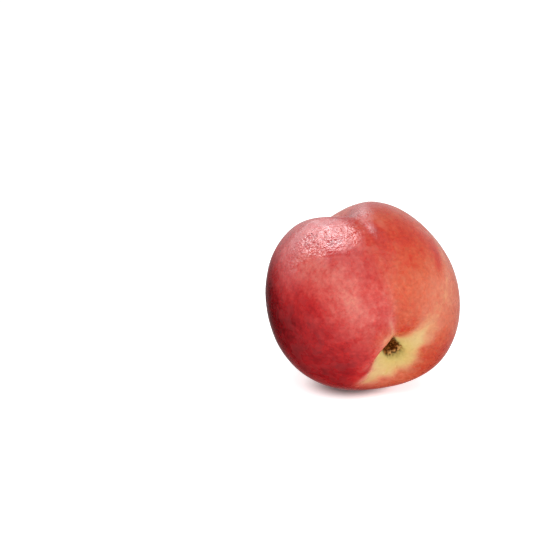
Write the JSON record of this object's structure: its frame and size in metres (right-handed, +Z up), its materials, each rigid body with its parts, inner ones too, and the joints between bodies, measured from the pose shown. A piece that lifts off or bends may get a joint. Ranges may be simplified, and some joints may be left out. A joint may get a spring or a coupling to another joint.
{
  "type": "nectarine",
  "caption": "Whole ripe nectarine lying on its side, with a suture, a stem cavity with its torn scar, a twig imprint and a small flat spot to rest on.",
  "frame": {"origin": "middle of the small flat spot that the fruit rests on", "axes": "+Z up from the surface it lies on; the stem end points down and forward, between -Y and +X; the suture side faces the -Y side"},
  "size_m": [0.067, 0.0687, 0.064],
  "materials": {
    "skin": "smooth waxy red fruit skin with a satin sheen, paler and yellow at the stem face"
  },
  "bodies": {
    "root": {"nectarine": "skin"}
  },
  "joints": []
}
